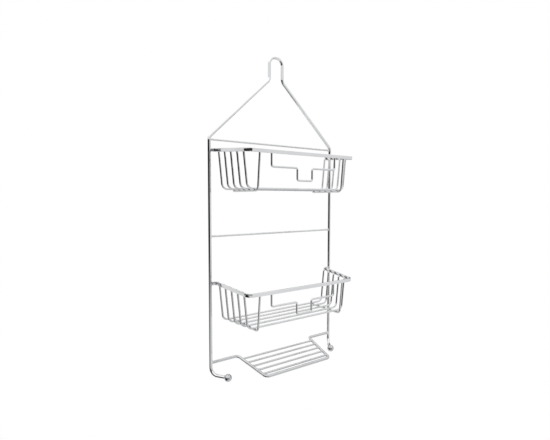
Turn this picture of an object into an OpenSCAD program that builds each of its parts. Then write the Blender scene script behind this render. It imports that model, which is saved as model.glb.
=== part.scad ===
// Hanging shower caddy of welded, plated steel wire.
// The origin is the point where the caddy hangs: the underside of the top of its loop.
// +Z is up, +X is to the right when facing it, and the baskets stand out toward -Y.

/* [Hanging frame] */
// Diameter of the frame wire
frame_d = 5; // [5:0.5:7]
// Distance between the centre lines of the two uprights
upright_gap = 245; // [235:1:260]
// Distance between the centre lines of the two neck wires
neck_gap = 26; // [24:0.5:34]
// Drop from the hanging point to the neck bends
neck_drop = 35.5; // [30:0.5:45]
// Drop from the hanging point to the shoulder bends
shoulder_drop = 138; // [125:0.5:138]
// Bend radius of the neck, on the centre line
neck_bend = 10; // [6:1:12]
// Bend radius of the shoulders, on the centre line
shoulder_bend = 10; // [8:1:12]

/* [Crossbars] */
// Diameter of the thin wires
wire_d = 3; // [2.5:0.1:3.2]
// Drop to the upper crossbar
top_crossbar_drop = 142; // [142:0.5:146]
// Drop to the middle crossbar
middle_crossbar_drop = 289; // [250:1:310]

/* [Hooks] */
// Drop to the centre line of the hooks
hook_drop = 504.5; // [504:0.5:520]
// Reach of each hook, from the upright to the centre of its ball
hook_reach = 30; // [25:1:40]
// Angle by which each hook turns inward
hook_turn = 34; // [0:1:45]
// Bend radius between an upright and its hook
hook_bend = 12; // [8:1:15]
// Diameter of the ball on each hook
ball_d = 11.5; // [9:0.5:14]

/* [Baskets] */
// Drop to the rim of the upper basket, at its rear ends
upper_rim_drop = 157.5; // [153:0.5:165]
// Drop to the rim of the lower basket, at its rear ends
lower_rim_drop = 362; // [350:1:375]
// Height of the rim strip
strip_h = 5.5; // [4.5:0.5:7]
// Thickness of the rim strip
strip_t = 2; // [1.5:0.1:2.5]
// Depth of a basket, from the uprights to its front strip
basket_depth = 80; // [78:0.5:95]
// Half of the rim's width at the rear
rim_rear_half = 112.5; // [110:0.5:114]
// Half of the rim's width at the front
rim_front_half = 102; // [98:0.5:108]
// Slope of the rim, down toward the front
rim_tilt = 4.4; // [0:0.1:6]
// Bend radius of the rim's front corners
rim_corner = 10; // [8:1:14]
// Bend radius where the rim turns out to the uprights
rim_turnout = 4; // [3:0.5:5]
// Drop from the rim's rear ends to the floor wires
floor_drop = 59; // [50:1:65]
// Distance from the uprights to the first basket wire
first_wire = 2.7; // [2:0.1:4]
// Distance between neighbouring basket wires
wire_pitch = 15.2; // [13:0.1:16]
// Inward lean of a basket wire between the rim and the floor
side_lean = 5.8; // [3:0.1:9]
// Bend radius of a basket wire at the floor
floor_bend = 9; // [6:0.5:10]

/* [Basket supports and guards] */
// Half of the distance between the two supports of a basket
support_half = 81.5; // [76:0.5:86]
// Rearward lean of a support between the strip and its bend
support_lean = 5.5; // [3:0.5:6]
// Bend radius of a support
support_bend = 6.5; // [5:0.5:8]
// Half of the whole width of a front guard
guard_half = 61.5; // [50:0.5:70]
// Half of the width of the guard's lower step
step_half = 14.5; // [12:0.5:25]
// Drop from the rim to the guard's side runs
guard_drop = 21.5; // [16:0.5:24]
// Drop from the rim to the guard's middle run
step_drop = 40.5; // [34:0.5:44]
// Bend radius of the guard
guard_bend = 3.2; // [3:0.1:5]

/* [Soap shelf] */
// Diameter of the shelf's frame wire
shelf_d = 4.5; // [4:0.5:5]
// Drop to the arms of the shelf
shelf_drop = 485.5; // [470:0.5:490]
// Half of the shelf's width at the rear
shelf_rear_half = 74.5; // [65:0.5:85]
// Half of the shelf's width at the front
shelf_front_half = 63.5; // [60:0.5:75]
// Depth of the shelf
shelf_depth = 67; // [64:1:75]
// Fall of the shelf toward its front
shelf_fall = 12.5; // [0:0.5:15]
// Bend radius of the shelf's corners
shelf_bend = 7; // [6:0.5:10]
// Distance from the uprights to the first shelf wire
first_slat = 12.3; // [10:0.1:13]
// Distance between neighbouring shelf wires
slat_pitch = 11.9; // [10:0.1:12]

/* [Hidden] */
plating = "silver";
frame_r = frame_d / 2;
wire_r = wire_d / 2;
shelf_r = shelf_d / 2;
upright_half = upright_gap / 2;
neck_half = neck_gap / 2;
// Depth to which a weld sinks one piece into the next
weld_sink = 0.1;
// Sideways and upward reach of the flared top of a basket wire
flare = 2.5;
flare_bend = 2;
// How much smaller a bend's section is than a straight stretch's, all round
bend_relief = 0.02;
// Bend radius of the two upper corners of the hanging loop
loop_bend = neck_half - 1;
// How deep the end of a hook goes into its ball
ball_socket = 4.5;
circle_fn = 48;
bend_fn = 96;

// Unit vector along v
function unit(v) = v / norm(v);
// Angle between two unit vectors
function turn_between(u, v) = acos(max(-1, min(1, u * v)));
// Where a wire of radius r, with its end cut square, meets the round side of an upright
function upright_side(r) = upright_half - sqrt(frame_r * frame_r - r * r);
// Half of the rim's width at a distance y in front of the uprights
function rim_half(y) = rim_rear_half + (rim_front_half - rim_rear_half) * y / basket_depth;
// Fall of the rim at a distance y in front of the uprights
function rim_fall(y) = y * tan(rim_tilt);
// Half of the soap shelf's width at a distance y in front of the uprights
function shelf_half(y) = shelf_rear_half + (shelf_front_half - shelf_rear_half) * y / shelf_depth;
// Mirror image of a list of points, in reverse order, across the plane x = 0
function mirrored(points) = [
    for (i = [len(points) - 1:-1:0]) [-points[i].x, points[i].y, points[i].z]
];

// Puts its children at a point, with their Z axis along a direction and their Y axis near up
module place(at, along, up) {
    side = unit(cross(up, along));
    rise = cross(along, side);
    multmatrix([
        [side.x, rise.x, along.x, at.x],
        [side.y, rise.y, along.y, at.y],
        [side.z, rise.z, along.z, at.z]
    ]) children();
}

// One bend of a wire, from the direction u to the direction v, about the corner point.
// It runs on a little way inside the straight stretches on both sides.
module bend(corner, u, v, radius) {
    angle = turn_between(u, v);
    inward = unit(v - (u * v) * u);
    axis = cross(-inward, u);
    centre = corner - u * radius * tan(angle / 2) + inward * radius;
    run_on = asin(sqrt(bend_relief / radius));
    multmatrix([
        [-inward.x, u.x, axis.x, centre.x],
        [-inward.y, u.y, axis.y, centre.y],
        [-inward.z, u.z, axis.z, centre.z]
    ])
        rotate([0, 0, -run_on])
            rotate_extrude(angle = angle + 2 * run_on, $fn = bend_fn)
                translate([radius, 0])
                    children();
}

// A bar along a line of points, with a bend of the given radius at each. The first child is
// the section of its straight stretches, and the second is the section of its bends.
module bent_bar(points, radii, up) {
    last = len(points) - 1;
    ways = [for (i = [0:last - 1]) unit(points[i + 1] - points[i])];
    cuts = [
        for (i = [0:last])
            i == 0 || i == last ? 0 : radii[i] * tan(turn_between(ways[i - 1], ways[i]) / 2)
    ];
    for (i = [0:last - 1]) {
        run = norm(points[i + 1] - points[i]) - cuts[i] - cuts[i + 1];
        if (run > 0.01)
            place(points[i] + ways[i] * cuts[i], ways[i], up)
                linear_extrude(run) children(0);
    }
    for (i = [1:last - 1])
        bend(points[i], ways[i - 1], ways[i], radii[i]) children(1);
}

// A round wire along a line of points
module bent_wire(points, radii, up, d) {
    color(plating)
        bent_bar(points, radii, up) {
            circle(d = d, $fn = circle_fn);
            circle(d = d - 2 * bend_relief, $fn = circle_fn);
        }
}

// Direction of the left hook, forward and inward
hook_way = [sin(hook_turn), -cos(hook_turn), 0];
hook_corner = [-upright_half, 0, -hook_drop];
ball_centre = hook_corner + hook_way * hook_reach;

// One wire: hook, upright, shoulder, neck, hanging loop, and the same again to the right
module frame_wire() {
    left = [
        ball_centre - hook_way * (ball_d / 2 - ball_socket),
        hook_corner,
        [-upright_half, 0, -shoulder_drop],
        [-neck_half, 0, -neck_drop],
        [-neck_half, 0, frame_r]
    ];
    left_bends = [0, hook_bend, shoulder_bend, neck_bend, loop_bend];
    bends = concat(left_bends, [loop_bend, neck_bend, shoulder_bend, hook_bend, 0]);
    bent_wire(concat(left, mirrored(left)), bends, [0, 1, 0], frame_d);
}

// The left ball, with the socket that takes the end of the hook
module hook_ball() {
    color(plating)
        difference() {
            translate(ball_centre) sphere(d = ball_d, $fn = circle_fn);
            place(ball_centre - hook_way * ball_d, hook_way, [0, 0, 1])
                cylinder(h = ball_d / 2 + ball_socket, d = frame_d, $fn = circle_fn);
        }
}

module hook_ball_left() {
    hook_ball();
}

module hook_ball_right() {
    mirror([1, 0, 0]) hook_ball();
}

// A straight wire between the uprights
module crossbar(drop) {
    end = upright_side(wire_r);
    bent_wire([[-end, 0, -drop], [end, 0, -drop]], [0, 0], [0, 1, 0], wire_d);
}

// Flat strip on edge along the left side, the front and the right side of a basket
module rim(drop) {
    strip_depth = basket_depth / cos(rim_tilt);
    left = [
        [-upright_side(strip_t / 2), 0, 0],
        [-rim_rear_half, 0, 0],
        [-rim_front_half, -strip_depth, 0]
    ];
    bends = [0, rim_turnout, rim_corner, rim_corner, rim_turnout, 0];
    color(plating)
        translate([0, 0, -drop])
            rotate([rim_tilt, 0, 0])
                bent_bar(concat(left, mirrored(left)), bends, [0, 0, 1]) {
                    square([strip_t, strip_h], center = true);
                    square([strip_t - 2 * bend_relief, strip_h - 2 * bend_relief], center = true);
                }
}

// Basket wire: down from the left strip, across the floor and up to the right strip
module basket_wire(drop, number) {
    y = first_wire + wire_pitch * (number - 1);
    strip_z = -drop - rim_fall(y);
    end_x = rim_half(y) - strip_t / 2 - wire_r * cos(45) + weld_sink;
    leg_x = end_x - flare;
    left = [
        [-end_x, -y, strip_z],
        [-leg_x, -y, strip_z - flare],
        [-leg_x + side_lean, -y, -drop - floor_drop]
    ];
    bends = [0, flare_bend, floor_bend, floor_bend, flare_bend, 0];
    bent_wire(concat(left, mirrored(left)), bends, [0, 1, 0], wire_d);
}

// Support: down from the front strip and back under the floor wires
module support(drop, side) {
    front_y = basket_depth - strip_t / 2 - wire_r + weld_sink;
    foot_z = -drop - floor_drop - wire_d + weld_sink;
    points = [
        [side * support_half, -front_y, -drop - rim_fall(basket_depth) + strip_h / 4],
        [side * support_half, -front_y + support_lean, foot_z],
        [side * support_half, wire_r - first_wire, foot_z]
    ];
    bent_wire(points, [0, support_bend, 0], [1, 0, 0], wire_d);
}

// Front guard: one wire that steps down under the strip, lower in the middle, and up again
module front_guard(drop) {
    y = -(basket_depth - strip_t / 2 - wire_r + weld_sink);
    strip_z = -drop - rim_fall(basket_depth);
    left = [
        [-guard_half, y, strip_z + strip_h / 4],
        [-guard_half, y, strip_z - guard_drop],
        [-step_half, y, strip_z - guard_drop],
        [-step_half, y, strip_z - step_drop]
    ];
    bends = [0, guard_bend, guard_bend, guard_bend, guard_bend, guard_bend, guard_bend, 0];
    bent_wire(concat(left, mirrored(left)), bends, [0, 1, 0], wire_d);
}

// Soap shelf frame: arm, left rail, front rail, right rail, arm
module shelf_frame() {
    left = [
        [-upright_side(shelf_r), 0, -shelf_drop],
        [-shelf_rear_half, 0, -shelf_drop],
        [-shelf_front_half, -shelf_depth, -shelf_drop - shelf_fall]
    ];
    bends = [0, shelf_bend, shelf_bend, shelf_bend, shelf_bend, 0];
    bent_wire(concat(left, mirrored(left)), bends, [0, 0, 1], shelf_d);
}

// Straight wire across the soap shelf, level with the tops of its rails
module shelf_wire(number) {
    y = first_slat + slat_pitch * (number - 1);
    z = -shelf_drop - shelf_fall * y / shelf_depth + shelf_r - wire_r;
    end = shelf_half(y) - shelf_r + weld_sink * 4;
    bent_wire([[-end, -y, z], [end, -y, z]], [0, 0], [0, 1, 0], wire_d);
}

frame_wire();
hook_ball_left();
hook_ball_right();
crossbar(top_crossbar_drop);  // top_crossbar
crossbar(middle_crossbar_drop);  // middle_crossbar
rim(upper_rim_drop);  // upper_rim
support(upper_rim_drop, -1);  // upper_support_left
support(upper_rim_drop, 1);  // upper_support_right
front_guard(upper_rim_drop);  // upper_front_guard
basket_wire(upper_rim_drop, 1);  // upper_wire_1
basket_wire(upper_rim_drop, 2);  // upper_wire_2
basket_wire(upper_rim_drop, 3);  // upper_wire_3
basket_wire(upper_rim_drop, 4);  // upper_wire_4
basket_wire(upper_rim_drop, 5);  // upper_wire_5
rim(lower_rim_drop);  // lower_rim
support(lower_rim_drop, -1);  // lower_support_left
support(lower_rim_drop, 1);  // lower_support_right
front_guard(lower_rim_drop);  // lower_front_guard
basket_wire(lower_rim_drop, 1);  // lower_wire_1
basket_wire(lower_rim_drop, 2);  // lower_wire_2
basket_wire(lower_rim_drop, 3);  // lower_wire_3
basket_wire(lower_rim_drop, 4);  // lower_wire_4
basket_wire(lower_rim_drop, 5);  // lower_wire_5
shelf_frame();
shelf_wire(1);  // shelf_wire_1
shelf_wire(2);  // shelf_wire_2
shelf_wire(3);  // shelf_wire_3
shelf_wire(4);  // shelf_wire_4
shelf_wire(5);  // shelf_wire_5
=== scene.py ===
"""Looks of the hanging wire shower caddy: smooth plated wires, their welds, and a plain white studio."""
import math

import bpy
import numpy as np
from mathutils import Euler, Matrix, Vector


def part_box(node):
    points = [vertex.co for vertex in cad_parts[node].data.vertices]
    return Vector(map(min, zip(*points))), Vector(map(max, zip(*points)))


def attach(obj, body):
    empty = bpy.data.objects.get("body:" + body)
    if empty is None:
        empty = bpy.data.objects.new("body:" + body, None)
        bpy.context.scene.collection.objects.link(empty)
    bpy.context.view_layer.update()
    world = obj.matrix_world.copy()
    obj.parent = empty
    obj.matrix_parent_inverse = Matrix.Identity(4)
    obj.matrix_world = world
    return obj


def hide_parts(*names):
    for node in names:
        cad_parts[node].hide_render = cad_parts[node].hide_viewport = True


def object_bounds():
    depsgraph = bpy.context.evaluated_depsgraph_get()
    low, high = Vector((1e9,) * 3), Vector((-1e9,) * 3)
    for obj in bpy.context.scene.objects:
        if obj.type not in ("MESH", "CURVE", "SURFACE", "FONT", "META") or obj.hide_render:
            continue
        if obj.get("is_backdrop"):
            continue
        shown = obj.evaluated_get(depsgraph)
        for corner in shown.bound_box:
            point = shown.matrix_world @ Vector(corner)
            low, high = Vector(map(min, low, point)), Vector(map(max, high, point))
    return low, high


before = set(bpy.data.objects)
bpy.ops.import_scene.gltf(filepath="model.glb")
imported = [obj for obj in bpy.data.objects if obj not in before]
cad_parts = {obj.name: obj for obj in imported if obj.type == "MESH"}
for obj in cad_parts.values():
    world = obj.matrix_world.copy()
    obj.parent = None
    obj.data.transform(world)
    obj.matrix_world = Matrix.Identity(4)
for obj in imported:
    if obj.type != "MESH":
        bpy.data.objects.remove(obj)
cad_low, cad_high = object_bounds()

# ---------------------------------------------------------------- camera
# Where the photographer stood, from the hanging point, and which way the camera looked
CAMERA_PLACE = (-0.3861, -0.5498, -0.2314)
CAMERA_YAW = 34.99
CAMERA_PITCH = -3.07
CAMERA_ROLL = -0.07
CAMERA_LENS = 25.94


def add_camera():
    data = bpy.data.cameras.new("camera")
    data.sensor_width = 36
    data.lens = CAMERA_LENS
    data.clip_start = 0.01
    camera = bpy.data.objects.new("camera", data)
    camera.location = CAMERA_PLACE
    camera.rotation_euler = Euler(
        (math.radians(90 + CAMERA_PITCH), math.radians(CAMERA_ROLL), math.radians(-CAMERA_YAW))
    )
    bpy.context.scene.collection.objects.link(camera)
    bpy.context.scene.camera = camera


add_camera()

# ---------------------------------------------------------------- sizes, in metres
FRAME_R = 0.0025
WIRE_R = 0.0015
SHELF_R = 0.00225
BALL_R = 0.00575
STRIP_T = 0.002
STRIP_H = 0.0055

NECK_DROP = 0.0355
SHOULDER_DROP = 0.138
NECK_HALF = 0.013
NECK_BEND = 0.010
SHOULDER_BEND = 0.010
LOOP_BEND = NECK_HALF - 0.001
HOOK_BEND = 0.012
HOOK_TURN = math.radians(34)
HOOK_REACH = 0.030
BALL_SOCKET = 0.0045
COLLAR_RISE = 0.0006
BALL_STEPS = 26
BALL_COUNT = 48

RIM_REAR_HALF = 0.1125
RIM_FRONT_HALF = 0.102
RIM_TILT = math.radians(4.4)
RIM_CORNER = 0.010
RIM_TURNOUT = 0.004
BASKET_DEPTH = 0.080

SIDE_LEAN = 0.0058
FLARE = 0.0025
FLARE_BEND = 0.002
FLOOR_BEND = 0.009
SUPPORT_LEAN = 0.0055
SUPPORT_BEND = 0.0065
STEP_HALF = 0.0145
STEP_RISE = 0.019
GUARD_BEND = 0.0032
SHELF_REAR_HALF = 0.0745
SHELF_FRONT_HALF = 0.0635
SHELF_DEPTH = 0.067
SHELF_BEND = 0.007

BASKETS = ("upper", "lower")
WIRES = range(1, 6)
SIDES = {"left": -1, "right": 1}


def vec(x, y, z):
    return np.array((x, y, z), float)


def unit(v):
    return v / np.linalg.norm(v)


def mirrored(points):
    """The same points on the other side of the plane x = 0, in reverse order."""
    return [p * (-1, 1, 1) for p in reversed(points)]


def band(first, second, count):
    """Faces between two closed rings of vertices, by the index where each ring starts."""
    return [(first + k, first + (k + 1) % count, second + (k + 1) % count, second + k) for k in range(count)]


def fan_from(pole, ring, count):
    """Faces from the first pole of a closed shape to its first ring."""
    return [(pole, ring + (k + 1) % count, ring + k) for k in range(count)]


def fan_to(pole, ring, count):
    """Faces from the last ring of a closed shape to its last pole."""
    return [(ring + k, ring + (k + 1) % count, pole) for k in range(count)]


def end_caps(first, last, count):
    """The two flat faces that close a tube."""
    return [tuple(reversed(range(first, first + count))), tuple(range(last, last + count))]


# ---------------------------------------------------------------- sections
def round_section(radius, count):
    """Points of a circle."""
    angles = np.arange(count) * 2 * math.pi / count
    return np.column_stack((np.cos(angles), np.sin(angles))) * radius


def strip_section(thickness, height, edge=0.0006, crown=0.00008, steps=5):
    """A flat strip with rolled edges and faces that are a little crowned."""
    half_t, half_h = thickness / 2, height / 2
    corners = ((1, 1, 0), (-1, 1, 90), (-1, -1, 180), (1, -1, 270))
    points = []
    for sx, sy, start in corners:
        for i in range(steps + 1):
            a = math.radians(start + 90 * i / steps)
            across = sx * (half_t - edge) + edge * math.cos(a)
            points.append((across, sy * (half_h - edge) + edge * math.sin(a)))
        if start in (90, 270):
            points.append((sx * (half_t + crown), 0))
    return np.array(points)


# ---------------------------------------------------------------- bent bars
# Largest angle between two rings in a bend, and how near a bend's ends a straight run gets an extra ring
RING_ANGLE = math.radians(5)
RING_GUARD = 0.0008
# How far a bar's ends are rounded, and the same for bars whose ends are hidden in a weld
END_SOFT = 0.0004
STRIP_END_SOFT = 0.0002
HIDDEN_END_SOFT = 0.0001


def stations(points, radii):
    """Points and directions along a line of points that is rounded at each of them."""
    ways = [unit(b - a) for a, b in zip(points, points[1:])]
    turns = [math.acos(max(-1, min(1, float(u @ v)))) for u, v in zip(ways, ways[1:])]
    cuts = [0] + [r * math.tan(t / 2) for r, t in zip(radii[1:-1], turns)] + [0]
    places = []
    for i, way in enumerate(ways):
        start = points[i] + way * cuts[i]
        end = points[i + 1] - way * cuts[i + 1]
        run = np.linalg.norm(end - start)
        places.append((start, way))
        if run > 3 * RING_GUARD:
            places.append((start + way * RING_GUARD, way))
            places.append((end - way * RING_GUARD, way))
        places.append((end, way))
        if i + 1 < len(ways):
            turn, radius, following = turns[i], radii[i + 1], ways[i + 1]
            inward = unit(following - (way @ following) * way)
            centre = end + inward * radius
            count = max(2, math.ceil(turn / RING_ANGLE))
            for k in range(1, count):
                a = turn * k / count
                spot = centre - inward * radius * math.cos(a) + way * radius * math.sin(a)
                places.append((spot, way * math.cos(a) + inward * math.sin(a)))
    return places


def end_rings(place, outward, soft, steps=3):
    """Extra rings that round off the end of a bar: (centre, inset of the section)."""
    return [
        (place + outward * soft * math.sin(a), soft * (1 - math.cos(a)))
        for a in (math.pi / 2 * k / steps for k in range(1, steps + 1))
    ]


def sweep(section, points, radii, up, soft=END_SOFT):
    """Vertices and faces of a bar of one section along a rounded line of points."""
    places = stations(points, radii)
    first_way, last_way = places[0][1], places[-1][1]
    rings = []
    rise = unit(up - (up @ first_way) * first_way)
    previous = first_way
    for place, way in places:
        axis = np.cross(previous, way)
        length = np.linalg.norm(axis)
        if length > 1e-9:
            angle = math.atan2(length, float(previous @ way))
            axis = axis / length
            rise = (
                rise * math.cos(angle) + np.cross(axis, rise) * math.sin(angle)
                + axis * (axis @ rise) * (1 - math.cos(angle))
            )
        previous = way
        rings.append((place, way, rise, 0.0))
    start, end = rings[0], rings[-1]
    head = [
        (place + first_way * soft, first_way, start[2], inset)
        for place, inset in reversed(end_rings(start[0], -first_way, soft))
    ]
    tail = [
        (place - last_way * soft, last_way, end[2], inset)
        for place, inset in end_rings(end[0], last_way, soft)
    ]
    rings[0] = (start[0] + first_way * soft, first_way, start[2], 0.0)
    rings[-1] = (end[0] - last_way * soft, last_way, end[2], 0.0)
    rings = head + rings + tail

    count = len(section)
    reach = np.linalg.norm(section, axis=1, keepdims=True)
    vertices = []
    for place, way, rise, inset in rings:
        side = np.cross(rise, way)
        shrunk = section * (1 - inset / reach)
        vertices.append(place + shrunk[:, :1] * side + shrunk[:, 1:] * rise)
    vertices = np.vstack(vertices)
    faces = []
    for ring in range(len(rings) - 1):
        faces += band(ring * count, (ring + 1) * count, count)
    faces += end_caps(0, (len(rings) - 1) * count, count)
    return vertices, faces


def lathe(profile, at, axis, count=32):
    """A closed turned shape, from pairs of a distance along the axis and a radius, pole to pole."""
    axis = unit(axis)
    helper = vec(0, 0, 1) if abs(axis[2]) < 0.9 else vec(1, 0, 0)
    side = unit(np.cross(helper, axis))
    rise = np.cross(axis, side)
    vertices = [at + axis * profile[0][0]]
    for along, radius in profile[1:-1]:
        for k in range(count):
            a = 2 * math.pi * k / count
            vertices.append(at + axis * along + (side * math.cos(a) + rise * math.sin(a)) * radius)
    vertices.append(at + axis * profile[-1][0])
    rings = len(profile) - 2
    faces = fan_from(0, 1, count)
    for ring in range(rings - 1):
        faces += band(1 + ring * count, 1 + (ring + 1) * count, count)
    faces += fan_to(len(vertices) - 1, 1 + (rings - 1) * count, count)
    return np.array(vertices), faces


# ---------------------------------------------------------------- pieces
def add_mesh(name, parts, material):
    """One smooth piece made of several closed shapes."""
    vertices, faces = [], []
    for part_vertices, part_faces in parts:
        offset = len(vertices)
        vertices.extend(tuple(v) for v in part_vertices)
        faces.extend(tuple(i + offset for i in f) for f in part_faces)
    mesh = bpy.data.meshes.new(name)
    mesh.from_pydata(vertices, [], faces)
    mesh.validate()
    mesh.update()
    mesh.shade_smooth()
    mesh.materials.append(material)
    piece = bpy.data.objects.new(name, mesh)
    bpy.context.scene.collection.objects.link(piece)
    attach(piece, "root")
    return piece


def chrome(name, tint, rough, ripple):
    """Bright plating: a soft ripple, faint haze in patches and a slight change of tint."""
    material = bpy.data.materials.new(name)
    material.use_nodes = True
    nodes, links = material.node_tree.nodes, material.node_tree.links
    shader = nodes["Principled BSDF"]
    shader.inputs["Metallic"].default_value = 1.0
    place = nodes.new("ShaderNodeTexCoord")

    haze = nodes.new("ShaderNodeTexNoise")
    haze.inputs["Scale"].default_value = 60
    haze.inputs["Detail"].default_value = 5
    links.new(place.outputs["Object"], haze.inputs["Vector"])
    haze_range = nodes.new("ShaderNodeMapRange")
    haze_range.inputs["From Min"].default_value = 0.3
    haze_range.inputs["From Max"].default_value = 0.75
    haze_range.inputs["To Min"].default_value = rough * 0.6
    haze_range.inputs["To Max"].default_value = rough * 1.6
    links.new(haze.outputs["Fac"], haze_range.inputs["Value"])
    links.new(haze_range.outputs["Result"], shader.inputs["Roughness"])

    patches = nodes.new("ShaderNodeTexNoise")
    patches.inputs["Scale"].default_value = 22
    patches.inputs["Detail"].default_value = 3
    links.new(place.outputs["Object"], patches.inputs["Vector"])
    tones = nodes.new("ShaderNodeValToRGB")
    tones.color_ramp.elements[0].position = 0.35
    tones.color_ramp.elements[0].color = (*(c * 0.94 for c in tint), 1)
    tones.color_ramp.elements[1].position = 0.65
    tones.color_ramp.elements[1].color = (*tint, 1)
    links.new(patches.outputs["Fac"], tones.inputs["Fac"])
    links.new(tones.outputs["Color"], shader.inputs["Base Color"])

    waves = nodes.new("ShaderNodeTexNoise")
    waves.inputs["Scale"].default_value = 320
    waves.inputs["Detail"].default_value = 2
    links.new(place.outputs["Object"], waves.inputs["Vector"])
    bump = nodes.new("ShaderNodeBump")
    bump.inputs["Strength"].default_value = ripple
    bump.inputs["Distance"].default_value = 0.0002
    links.new(waves.outputs["Fac"], bump.inputs["Height"])
    links.new(bump.outputs["Normal"], shader.inputs["Normal"])
    return material


FRAME_CHROME = chrome("frame_chrome", (0.71, 0.715, 0.725), 0.06, 0.10)
WIRE_CHROME = chrome("wire_chrome", (0.59, 0.595, 0.605), 0.07, 0.12)
STRIP_CHROME = chrome("strip_chrome", (0.71, 0.715, 0.725), 0.09, 0.20)
SHELF_CHROME = chrome("shelf_chrome", (0.51, 0.515, 0.525), 0.06, 0.10)
# Balls: a darker tint than the frame's plating, painted shade for the dark ring they reflect.
BALL_PAINTED_SHADE_CHROME = chrome("ball_chrome", (0.48, 0.485, 0.495), 0.05, 0.06)
# Basket welds: a very dark base colour, painted shade standing in for the dark room that the plated beads
# reflect.
WELD_PAINTED_SHADE_CHROME = chrome("weld_painted_shade_chrome", (0.24, 0.24, 0.245), 0.13, 0.30)

FRAME_SECTION = round_section(FRAME_R, 40)
WIRE_SECTION = round_section(WIRE_R, 24)
SHELF_SECTION = round_section(SHELF_R, 32)
STRIP_SECTION = strip_section(STRIP_T, STRIP_H)


def bar(node, section, points, radii, up, material, soft=END_SOFT):
    """A bent bar that stands for one CAD node."""
    piece = add_mesh("plated_" + node, [sweep(section, points, radii, up, soft)], material)
    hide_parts(node)
    return piece


def rim_drop(basket):
    """Height of the rim's rear ends."""
    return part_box(basket + "_rim")[1].z - STRIP_H / 2


def rim_fall(y):
    return y * math.tan(RIM_TILT)


def rim_half(y):
    return RIM_REAR_HALF + (RIM_FRONT_HALF - RIM_REAR_HALF) * y / BASKET_DEPTH


def shelf_half(y):
    return SHELF_REAR_HALF + (SHELF_FRONT_HALF - SHELF_REAR_HALF) * y / SHELF_DEPTH


# ---------------------------------------------------------------- hanging frame
low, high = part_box("frame_wire")
UPRIGHT_HALF = high.x - FRAME_R
HOOK_Z = low.z + FRAME_R
HOOK_WAY = {side: vec(-s * math.sin(HOOK_TURN), -math.cos(HOOK_TURN), 0) for side, s in SIDES.items()}
HOOK_CORNER = {side: vec(s * UPRIGHT_HALF, 0, HOOK_Z) for side, s in SIDES.items()}
BALL_CENTRE = {side: HOOK_CORNER[side] + HOOK_WAY[side] * HOOK_REACH for side in SIDES}


def add_frame_wire():
    left = [
        BALL_CENTRE["left"] - HOOK_WAY["left"] * (BALL_R - BALL_SOCKET),
        HOOK_CORNER["left"],
        vec(-UPRIGHT_HALF, 0, -SHOULDER_DROP),
        vec(-NECK_HALF, 0, -NECK_DROP),
        vec(-NECK_HALF, 0, FRAME_R),
    ]
    bends = [0, HOOK_BEND, SHOULDER_BEND, NECK_BEND, LOOP_BEND]
    radii = bends + bends[::-1]
    bar("frame_wire", FRAME_SECTION, left + mirrored(left), radii, vec(0, 1, 0), FRAME_CHROME)


def add_ball(side):
    """A turned ball with a short collar where the wire goes in."""
    collar_r = FRAME_R + COLLAR_RISE
    start = -math.sqrt(BALL_R**2 - collar_r**2)
    profile = [(start - 0.0009, 0), (start - 0.0009, FRAME_R * 0.98), (start - 0.0008, FRAME_R + 0.0002)]
    profile += [(start - 0.0004, FRAME_R + 0.0003), (start - 0.0001, collar_r - 0.0001)]
    first = math.pi - math.asin(collar_r / BALL_R)
    for k in range(BALL_STEPS):
        a = first * (1 - k / BALL_STEPS)
        profile.append((BALL_R * math.cos(a), BALL_R * math.sin(a)))
    profile.append((BALL_R, 0))
    shape = lathe(profile, BALL_CENTRE[side], HOOK_WAY[side], BALL_COUNT)
    # The ball's darker tint is painted shade.
    piece = add_mesh("plated_ball_" + side, [shape], BALL_PAINTED_SHADE_CHROME)
    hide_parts("hook_ball_" + side)


def add_crossbar(node):
    low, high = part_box(node)
    z = (low.z + high.z) / 2
    points = [vec(low.x, 0, z), vec(high.x, 0, z)]
    bar(node, WIRE_SECTION, points, [0, 0], vec(0, 1, 0), WIRE_CHROME, soft=HIDDEN_END_SOFT)


add_frame_wire()
for side in SIDES:
    add_ball(side)
for node in ("top_crossbar", "middle_crossbar"):
    add_crossbar(node)


# ---------------------------------------------------------------- baskets
def add_rim(basket):
    low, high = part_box(basket + "_rim")
    rear_z = rim_drop(basket)
    depth = BASKET_DEPTH / math.cos(RIM_TILT)

    def tilted(x, y):
        return vec(x, -y * math.cos(RIM_TILT), rear_z - y * math.sin(RIM_TILT))

    left = [tilted(low.x, 0), tilted(-RIM_REAR_HALF, 0), tilted(-RIM_FRONT_HALF, depth)]
    bends = [0, RIM_TURNOUT, RIM_CORNER]
    up = vec(0, -math.sin(RIM_TILT), math.cos(RIM_TILT))
    bar(basket + "_rim", STRIP_SECTION, left + mirrored(left), bends + bends[::-1], up, STRIP_CHROME,
        soft=STRIP_END_SOFT)


def add_basket_wire(basket, number):
    node = f"{basket}_wire_{number}"
    low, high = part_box(node)
    y = (low.y + high.y) / 2
    skew = WIRE_R * math.cos(math.radians(45))
    end = vec(low.x + skew, y, high.z - skew)
    left = [end, end + (FLARE, 0, -FLARE), vec(end[0] + FLARE + SIDE_LEAN, y, low.z + WIRE_R)]
    bends = [0, FLARE_BEND, FLOOR_BEND]
    radii = bends + bends[::-1]
    bar(node, WIRE_SECTION, left + mirrored(left), radii, vec(0, 1, 0), WIRE_CHROME)


def add_support(basket, side):
    node = f"{basket}_support_{side}"
    low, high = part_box(node)
    x = (low.x + high.x) / 2
    front, foot = low.y + WIRE_R, low.z + WIRE_R
    points = [vec(x, front, high.z), vec(x, front + SUPPORT_LEAN, foot), vec(x, high.y, foot)]
    bar(node, WIRE_SECTION, points, [0, SUPPORT_BEND, 0], vec(1, 0, 0), WIRE_CHROME)


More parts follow.
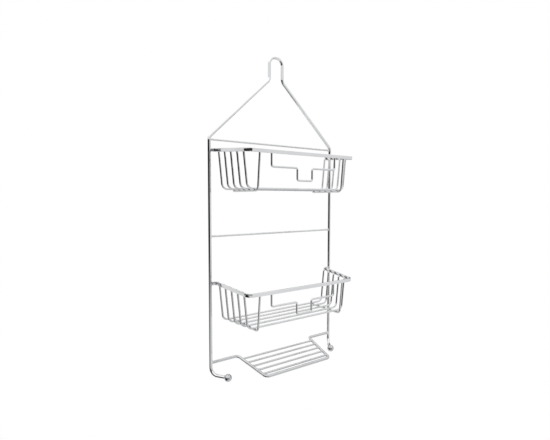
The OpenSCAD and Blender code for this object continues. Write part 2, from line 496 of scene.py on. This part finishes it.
def add_front_guard(basket):
    node = basket + "_front_guard"
    low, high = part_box(node)
    y = (low.y + high.y) / 2
    half, step_z = high.x - WIRE_R, low.z + WIRE_R
    left = [
        vec(-half, y, high.z),
        vec(-half, y, step_z + STEP_RISE),
        vec(-STEP_HALF, y, step_z + STEP_RISE),
        vec(-STEP_HALF, y, step_z),
    ]
    bends = [0, GUARD_BEND, GUARD_BEND, GUARD_BEND]
    radii = bends + bends[::-1]
    bar(node, WIRE_SECTION, left + mirrored(left), radii, vec(0, 1, 0), WIRE_CHROME)


for basket in BASKETS:
    add_rim(basket)
    for number in WIRES:
        add_basket_wire(basket, number)
    for side in SIDES:
        add_support(basket, side)
    add_front_guard(basket)


# ---------------------------------------------------------------- soap shelf
def add_shelf_frame():
    low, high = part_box("shelf_frame")
    arm_z, front_z = high.z - SHELF_R, low.z + SHELF_R
    left = [
        vec(low.x, 0, arm_z),
        vec(-SHELF_REAR_HALF, 0, arm_z),
        vec(-SHELF_FRONT_HALF, -SHELF_DEPTH, front_z),
    ]
    bends = [0, SHELF_BEND, SHELF_BEND]
    bar("shelf_frame", SHELF_SECTION, left + mirrored(left), bends + bends[::-1], vec(0, 0, 1), SHELF_CHROME,
        soft=HIDDEN_END_SOFT)


def add_shelf_wire(number):
    node = f"shelf_wire_{number}"
    low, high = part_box(node)
    y, z = (low.y + high.y) / 2, (low.z + high.z) / 2
    points = [vec(low.x, y, z), vec(high.x, y, z)]
    bar(node, WIRE_SECTION, points, [0, 0], vec(0, 1, 0), SHELF_CHROME, soft=HIDDEN_END_SOFT)


add_shelf_frame()
for number in WIRES:
    add_shelf_wire(number)


# ---------------------------------------------------------------- welds
# Half sizes of the beads, in X, Y and Z
SIDE_BEAD = (0.0017, 0.0022, 0.0022)
FOOT_BEAD = (0.0013, 0.0013, 0.0006)
FRONT_BEAD = (0.0019, 0.0009, 0.0022)
SHELF_BEAD = (0.0015, 0.0021, 0.0018)
# How far the beads sit from the inner face of the strip or the shelf's frame, and their height there
SIDE_BEAD_IN, SIDE_BEAD_UP = 0.0009, 0.0002
SHELF_BEAD_IN, SHELF_BEAD_DOWN = 0.0004, 0.0001


def blob(at, radii):
    """A smooth oval bead of weld metal."""
    rings, count = 10, 20
    vertices = [at + vec(0, 0, -radii[2])]
    for ring in range(1, rings):
        b = -math.pi / 2 + math.pi * ring / rings
        for k in range(count):
            a = 2 * math.pi * k / count
            spot = vec(math.cos(a) * math.cos(b), math.sin(a) * math.cos(b), math.sin(b))
            vertices.append(at + spot * radii)
    vertices.append(at + vec(0, 0, radii[2]))
    faces = fan_from(0, 1, count)
    for ring in range(rings - 2):
        faces += band(1 + ring * count, 1 + (ring + 1) * count, count)
    faces += fan_to(len(vertices) - 1, 1 + (rings - 2) * count, count)
    return np.array(vertices), faces


def saddle(at, way, radius, upright_r, spread=0.0010):
    """A hollow fillet round a bar that leaves an upright's side: at is on the upright's centre line."""
    side, rise = unit(np.cross(vec(0, 0, 1), way)), vec(0, 0, 1)
    count, steps = 32, 6
    vertices = []
    for step in range(steps + 1):
        a = math.pi / 2 * step / steps
        wide = min(radius + spread * (1 - math.sin(a)), upright_r * 0.96)
        tall = radius + spread * (1 - math.sin(a))
        rim = spread * (1 - math.cos(a))
        for k in range(count):
            turn = 2 * math.pi * k / count
            across, high = math.cos(turn) * wide, math.sin(turn) * tall
            along = math.sqrt(upright_r**2 - across**2) - 0.00005 + rim
            vertices.append(at + way * along + side * across + rise * high)
    faces = []
    for step in range(steps):
        faces += band(step * count, (step + 1) * count, count)
    faces += end_caps(0, steps * count, count)
    return np.array(vertices), faces


def add_basket_welds(basket):
    beads = []
    for number in WIRES:
        low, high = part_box(f"{basket}_wire_{number}")
        y = (low.y + high.y) / 2
        inner = rim_half(-y) - STRIP_T / 2
        top = rim_drop(basket) - rim_fall(-y)
        for s in SIDES.values():
            beads.append(blob(vec(s * (inner - SIDE_BEAD_IN), y, top + SIDE_BEAD_UP), SIDE_BEAD))
        for side in SIDES:
            x = sum(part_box(f"{basket}_support_{side}")[i].x for i in (0, 1)) / 2
            beads.append(blob(vec(x, y, low.z), FOOT_BEAD))
    front = -(BASKET_DEPTH - STRIP_T / 2)
    top = rim_drop(basket) - rim_fall(BASKET_DEPTH)
    guard_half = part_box(basket + "_front_guard")[1].x - WIRE_R
    support_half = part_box(basket + "_support_right")[1].x - WIRE_R
    for x in (-support_half, -guard_half, guard_half, support_half):
        beads.append(blob(vec(x, front, top), FRONT_BEAD))
    # These beads take the dark weld material, whose colour is painted shade.
    add_mesh(basket + "_basket_welds", beads, WELD_PAINTED_SHADE_CHROME)


def add_shelf_welds():
    beads = []
    for number in WIRES:
        low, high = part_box(f"shelf_wire_{number}")
        middle = (low + high) / 2
        inner = shelf_half(-middle.y) - SHELF_R
        for s in SIDES.values():
            spot = vec(s * (inner - SHELF_BEAD_IN), middle.y, middle.z - SHELF_BEAD_DOWN)
            beads.append(blob(spot, SHELF_BEAD))
    add_mesh("shelf_welds", beads, SHELF_CHROME)


def add_frame_welds():
    """Fillets where the crossbars and the shelf's arms meet the uprights."""
    joints = [(sum(z.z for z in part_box(node)) / 2, WIRE_R) for node in ("top_crossbar", "middle_crossbar")]
    joints.append((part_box("shelf_frame")[1].z - SHELF_R, SHELF_R))
    fillets = []
    for s in SIDES.values():
        for z, radius in joints:
            fillets.append(saddle(vec(s * UPRIGHT_HALF, 0, z), vec(-s, 0, 0), radius, FRAME_R))
    add_mesh("frame_welds", fillets, FRAME_CHROME)


for basket in BASKETS:
    add_basket_welds(basket)
add_shelf_welds()
add_frame_welds()


# ---------------------------------------------------------------- studio
# The floor is low and small, so that reflections from below still meet the dark side of the room
FLOOR_GAP = 0.35
FLOOR_SIZE = 0.7


def add_floor():
    material = bpy.data.materials.new("pale_floor")
    material.use_nodes = True
    shader = material.node_tree.nodes["Principled BSDF"]
    shader.inputs["Base Color"].default_value = (0.93, 0.93, 0.93, 1)
    shader.inputs["Roughness"].default_value = 0.9
    shader.inputs["Specular IOR Level"].default_value = 0.1
    shader.inputs["Emission Color"].default_value = (1, 1, 1, 1)
    shader.inputs["Emission Strength"].default_value = 0.12
    mesh = bpy.data.meshes.new("floor")
    half, z = FLOOR_SIZE / 2, cad_low.z - FLOOR_GAP
    corners = [(-half, -half, z), (half, -half, z), (half, half, z), (-half, half, z)]
    mesh.from_pydata(corners, [], [(0, 1, 2, 3)])
    mesh.materials.append(material)
    floor = bpy.data.objects.new("floor", mesh)
    bpy.context.scene.collection.objects.link(floor)
    floor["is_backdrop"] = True


# The dark side of the room: its middle and half width in degrees, and the heights where it fades
DARK_AZIMUTH = 244
DARK_CORE, DARK_EDGE = 63, 72
DARK_TOP = (0.145, 0.205)
DARK_BOTTOM = (-0.02, -0.52)
DARK_BOTTOM_LEFT = 0.1
# A second dark patch, low down on the same side
LOW_AZIMUTH, LOW_HEIGHT = 264, -42
LOW_CORE, LOW_EDGE = 27, 38
# A third one, at eye level behind the caddy
BACK_AZIMUTH, BACK_HEIGHT = 42, -4
BACK_CORE, BACK_EDGE = 24, 34
ROOM_LIGHT = 0.96
OVERHEAD_LIGHT = 1.45
OVERHEAD_EDGE = (0.30, 0.75)
DARK_LIGHT = 0.015


def add_world():
    """White all round, with three dark regions that only the plating's reflections see."""
    world = bpy.data.worlds.new("studio")
    bpy.context.scene.world = world
    world.use_nodes = True
    nodes, links = world.node_tree.nodes, world.node_tree.links
    nodes.clear()

    def ramp(source, start, end, low, high):
        node = nodes.new("ShaderNodeMapRange")
        node.interpolation_type = "SMOOTHSTEP"
        node.inputs["From Min"].default_value = start
        node.inputs["From Max"].default_value = end
        node.inputs["To Min"].default_value = low
        node.inputs["To Max"].default_value = high
        links.new(source, node.inputs["Value"])
        return node.outputs["Result"]

    def product(a, b):
        node = nodes.new("ShaderNodeMath")
        node.operation = "MULTIPLY"
        links.new(a, node.inputs[0])
        links.new(b, node.inputs[1])
        return node.outputs["Value"]

    place = nodes.new("ShaderNodeTexCoord")
    level = nodes.new("ShaderNodeVectorMath")
    level.operation = "MULTIPLY"
    level.inputs[1].default_value = (1, 1, 0)
    links.new(place.outputs["Generated"], level.inputs[0])
    heading = nodes.new("ShaderNodeVectorMath")
    heading.operation = "NORMALIZE"
    links.new(level.outputs["Vector"], heading.inputs[0])
    toward = nodes.new("ShaderNodeVectorMath")
    toward.operation = "DOT_PRODUCT"
    azimuth = math.radians(DARK_AZIMUTH)
    toward.inputs[1].default_value = (math.sin(azimuth), math.cos(azimuth), 0)
    links.new(heading.outputs["Vector"], toward.inputs[0])
    parts = nodes.new("ShaderNodeSeparateXYZ")
    links.new(place.outputs["Generated"], parts.inputs["Vector"])

    def patch(azimuth, height, core, edge):
        """A round patch about one direction."""
        node = nodes.new("ShaderNodeVectorMath")
        node.operation = "DOT_PRODUCT"
        a, h = math.radians(azimuth), math.radians(height)
        node.inputs[1].default_value = (math.sin(a) * math.cos(h), math.cos(a) * math.cos(h), math.sin(h))
        links.new(place.outputs["Generated"], node.inputs[0])
        return ramp(node.outputs["Value"], math.cos(math.radians(edge)), math.cos(math.radians(core)), 0, 1)

    def darker(a, b):
        node = nodes.new("ShaderNodeMath")
        node.operation = "MAXIMUM"
        links.new(a, node.inputs[0])
        links.new(b, node.inputs[1])
        return node.outputs["Value"]

    edge, core = math.cos(math.radians(DARK_EDGE)), math.cos(math.radians(DARK_CORE))
    sideways = ramp(toward.outputs["Value"], edge, core, 0, 1)
    above = ramp(parts.outputs["Z"], *DARK_TOP, 1, 0)
    below = ramp(parts.outputs["Z"], *reversed(DARK_BOTTOM), DARK_BOTTOM_LEFT, 1)
    wall = product(product(sideways, above), below)

    low_side = patch(LOW_AZIMUTH, LOW_HEIGHT, LOW_CORE, LOW_EDGE)
    back = patch(BACK_AZIMUTH, BACK_HEIGHT, BACK_CORE, BACK_EDGE)
    darkness = darker(darker(wall, low_side), back)
    overhead = ramp(parts.outputs["Z"], *OVERHEAD_EDGE, ROOM_LIGHT, OVERHEAD_LIGHT)
    lit = ramp(darkness, 0, 1, 1, DARK_LIGHT)
    light = product(overhead, lit)

    seen = nodes.new("ShaderNodeLightPath")
    studio = nodes.new("ShaderNodeBackground")
    studio.inputs["Color"].default_value = (1, 1, 1, 1)
    links.new(light, studio.inputs["Strength"])
    plain = nodes.new("ShaderNodeBackground")
    plain.inputs["Color"].default_value = (1, 1, 1, 1)
    mix = nodes.new("ShaderNodeMixShader")
    links.new(seen.outputs["Is Glossy Ray"], mix.inputs[0])
    links.new(plain.outputs[0], mix.inputs[1])
    links.new(studio.outputs[0], mix.inputs[2])
    out = nodes.new("ShaderNodeOutputWorld")
    links.new(mix.outputs[0], out.inputs["Surface"])
    bpy.context.scene.view_settings.view_transform = "Standard"


add_floor()
add_world()

low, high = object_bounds()
